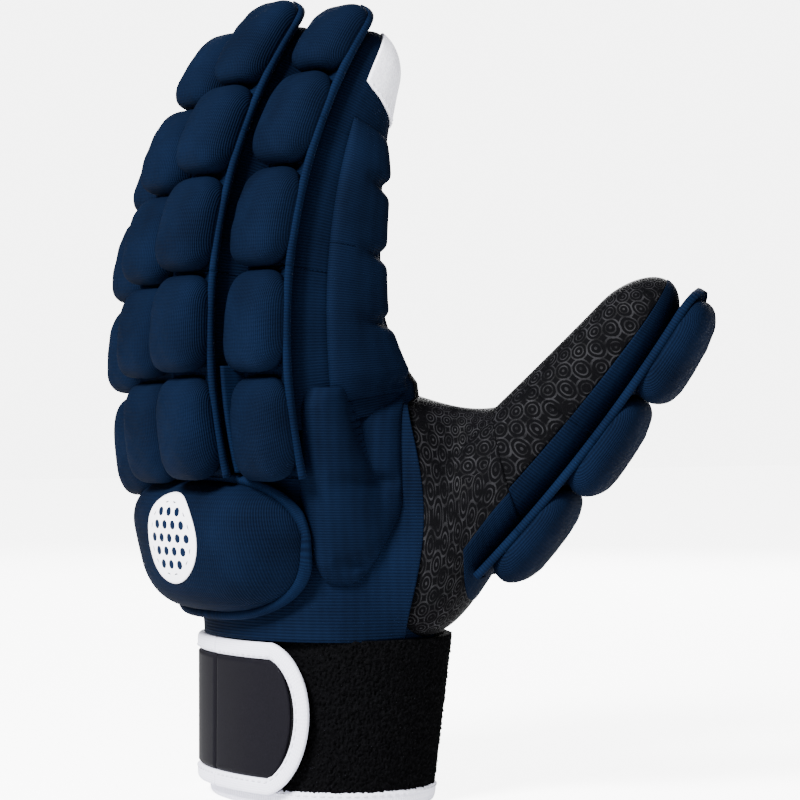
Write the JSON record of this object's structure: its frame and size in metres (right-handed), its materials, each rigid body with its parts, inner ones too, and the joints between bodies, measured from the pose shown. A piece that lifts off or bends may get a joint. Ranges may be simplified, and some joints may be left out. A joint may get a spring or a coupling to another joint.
{
  "type": "padded hockey glove",
  "caption": "Left-hand full-finger hockey glove with segmented foam blocks over the fingers and thumb, a grip palm and a strapped elastic cuff.",
  "frame": {"origin": "middle of the wrist opening at the lower edge of the cuff's hem", "axes": "+Z towards the fingertips, +X out of the palm, -Y towards the index finger and thumb side"},
  "size_m": [0.1415, 0.1597, 0.2435],
  "materials": {
    "foam_pad_cover": "matt ribbed knit over closed-cell foam",
    "navy_fabric": "matt smooth stretch knit",
    "grip_palm": "fine matt synthetic suede with raised silicone print",
    "pile_cuff": "fuzzy loop pile",
    "white_binding": "smooth folded tape, satin",
    "white_patch": "smooth synthetic leather, matt",
    "rubber_badge": "soft matt rubber",
    "strap_webbing": "flat black webbing"
  },
  "bodies": {
    "hand": {"wrist_cuff": "pile_cuff", "cuff_hem": "white_binding", "strap_anchor": "strap_webbing", "hand_back_shell": "navy_fabric", "palm_shell": "grip_palm", "thumb_heel_panel": "grip_palm", "thumb_web_panel": "grip_palm", "hand_side_guard": "foam_pad_cover", "back_pad": "foam_pad_cover", "index_knuckle_pad": "foam_pad_cover", "middle_knuckle_pad": "foam_pad_cover", "ring_knuckle_pad": "foam_pad_cover", "pinky_knuckle_pad": "foam_pad_cover"},
    "index_proximal": {"index_sleeve_1": "navy_fabric", "index_pad_1": "foam_pad_cover", "index_pad_2": "foam_pad_cover", "index_guard_1": "foam_pad_cover"},
    "index_middle": {"index_sleeve_2": "navy_fabric", "index_pad_3": "foam_pad_cover", "index_guard_2": "foam_pad_cover"},
    "index_distal": {"index_sleeve_3": "navy_fabric", "index_pad_4": "foam_pad_cover", "index_guard_3": "foam_pad_cover", "index_tip_patch": "white_patch"},
    "middle_proximal": {"middle_sleeve_1": "navy_fabric", "middle_pad_1": "foam_pad_cover", "middle_pad_2": "foam_pad_cover"},
    "middle_middle": {"middle_sleeve_2": "navy_fabric", "middle_pad_3": "foam_pad_cover"},
    "middle_distal": {"middle_sleeve_3": "navy_fabric", "middle_pad_4": "foam_pad_cover"},
    "ring_proximal": {"ring_sleeve_1": "navy_fabric", "ring_pad_1": "foam_pad_cover", "ring_pad_2": "foam_pad_cover"},
    "ring_middle": {"ring_sleeve_2": "navy_fabric", "ring_pad_3": "foam_pad_cover"},
    "ring_distal": {"ring_sleeve_3": "navy_fabric", "ring_pad_4": "foam_pad_cover"},
    "pinky_proximal": {"pinky_sleeve_1": "navy_fabric", "pinky_pad_1": "foam_pad_cover"},
    "pinky_middle": {"pinky_sleeve_2": "navy_fabric", "pinky_pad_2": "foam_pad_cover"},
    "pinky_distal": {"pinky_sleeve_3": "navy_fabric", "pinky_pad_3": "foam_pad_cover"},
    "thumb_base": {"thumb_sleeve_1": "grip_palm", "thumb_pad_1": "foam_pad_cover"},
    "thumb_middle": {"thumb_sleeve_2": "grip_palm", "thumb_pad_2": "foam_pad_cover"},
    "thumb_tip": {"thumb_sleeve_3": "grip_palm", "thumb_pad_3": "foam_pad_cover"},
    "strap_band": {"strap_band": "strap_webbing", "strap_band_binding": "white_binding", "strap_band_badge": "rubber_badge"},
    "strap_tab": {"strap_tab": "strap_webbing", "strap_tab_binding": "white_binding", "strap_tab_badge": "rubber_badge", "strap_hook": "pile_cuff"}
  },
  "joints": [
    {"name": "index_knuckle", "type": "hinge", "parent": "hand", "child": "index_proximal", "pos_m": [-0.01388, -0.03125, 0.13269], "axis": [0, 1, 0], "range_deg": [0, 60], "stiffness_Nm_per_rad": 0.08},
    {"name": "index_middle_joint", "type": "hinge", "parent": "index_proximal", "child": "index_middle", "pos_m": [-0.01261, -0.03125, 0.18441], "axis": [0, 1, 0], "range_deg": [0, 70], "stiffness_Nm_per_rad": 0.05},
    {"name": "index_tip_joint", "type": "hinge", "parent": "index_middle", "child": "index_distal", "pos_m": [-0.0063, -0.03125, 0.21081], "axis": [0, 1, 0], "range_deg": [0, 40], "stiffness_Nm_per_rad": 0.04},
    {"name": "middle_knuckle", "type": "hinge", "parent": "hand", "child": "middle_proximal", "pos_m": [-0.02847, -0.00775, 0.13247], "axis": [0, 1, 0], "range_deg": [0, 60], "stiffness_Nm_per_rad": 0.08},
    {"name": "middle_middle_joint", "type": "hinge", "parent": "middle_proximal", "child": "middle_middle", "pos_m": [-0.02614, -0.00775, 0.18319], "axis": [0, 1, 0], "range_deg": [0, 70], "stiffness_Nm_per_rad": 0.05},
    {"name": "middle_tip_joint", "type": "hinge", "parent": "middle_middle", "child": "middle_distal", "pos_m": [-0.01924, -0.00775, 0.20848], "axis": [0, 1, 0], "range_deg": [0, 40], "stiffness_Nm_per_rad": 0.04},
    {"name": "ring_knuckle", "type": "hinge", "parent": "hand", "child": "ring_proximal", "pos_m": [-0.02771, 0.01575, 0.13088], "axis": [0, 1, 0], "range_deg": [0, 60], "stiffness_Nm_per_rad": 0.08},
    {"name": "ring_middle_joint", "type": "hinge", "parent": "ring_proximal", "child": "ring_middle", "pos_m": [-0.02574, 0.01575, 0.17937], "axis": [0, 1, 0], "range_deg": [0, 70], "stiffness_Nm_per_rad": 0.05},
    {"name": "ring_tip_joint", "type": "hinge", "parent": "ring_middle", "child": "ring_distal", "pos_m": [-0.01941, 0.01575, 0.204], "axis": [0, 1, 0], "range_deg": [0, 40], "stiffness_Nm_per_rad": 0.04},
    {"name": "pinky_knuckle", "type": "hinge", "parent": "hand", "child": "pinky_proximal", "pos_m": [-0.0223, 0.03807, 0.12617], "axis": [0, 1, 0], "range_deg": [0, 60], "stiffness_Nm_per_rad": 0.08},
    {"name": "pinky_middle_joint", "type": "hinge", "parent": "pinky_proximal", "child": "pinky_middle", "pos_m": [-0.02316, 0.03807, 0.15042], "axis": [0, 1, 0], "range_deg": [0, 70], "stiffness_Nm_per_rad": 0.05},
    {"name": "pinky_tip_joint", "type": "hinge", "parent": "pinky_middle", "child": "pinky_distal", "pos_m": [-0.02094, 0.03807, 0.17592], "axis": [0, 1, 0], "range_deg": [0, 40], "stiffness_Nm_per_rad": 0.04},
    {"name": "thumb_root", "type": "hinge", "parent": "hand", "child": "thumb_base", "pos_m": [0.0167, -0.03857, 0.08521], "axis": [-0.766, -0.6428, 0], "range_deg": [0, 8], "stiffness_Nm_per_rad": 0.1},
    {"name": "thumb_middle_joint", "type": "hinge", "parent": "thumb_base", "child": "thumb_middle", "pos_m": [0.03269, -0.05762, 0.11056], "axis": [-0.766, -0.6428, 0], "range_deg": [0, 20], "stiffness_Nm_per_rad": 0.06},
    {"name": "thumb_tip_joint", "type": "hinge", "parent": "thumb_middle", "child": "thumb_tip", "pos_m": [0.04707, -0.07476, 0.13468], "axis": [-0.766, -0.6428, 0], "range_deg": [0, 25], "stiffness_Nm_per_rad": 0.05},
    {"name": "strap_band_hinge", "type": "hinge", "parent": "hand", "child": "strap_band", "pos_m": [-0.00529, 0.04464, 0.025], "axis": [-0.0581, -0.059, -0.9966], "range_deg": [0, 90]},
    {"name": "strap_tab_hinge", "type": "hinge", "parent": "strap_band", "child": "strap_tab", "pos_m": [-0.03409, 0.00795, 0.025], "axis": [-0.0106, -0.0106, -0.9999], "range_deg": [0, 80]}
  ],
  "couplings": [
    {"joint": "index_tip_joint", "follows": "index_middle_joint", "ratio": 0.57143},
    {"joint": "middle_tip_joint", "follows": "middle_middle_joint", "ratio": 0.57143},
    {"joint": "ring_tip_joint", "follows": "ring_middle_joint", "ratio": 0.57143},
    {"joint": "pinky_tip_joint", "follows": "pinky_middle_joint", "ratio": 0.57143}
  ]
}
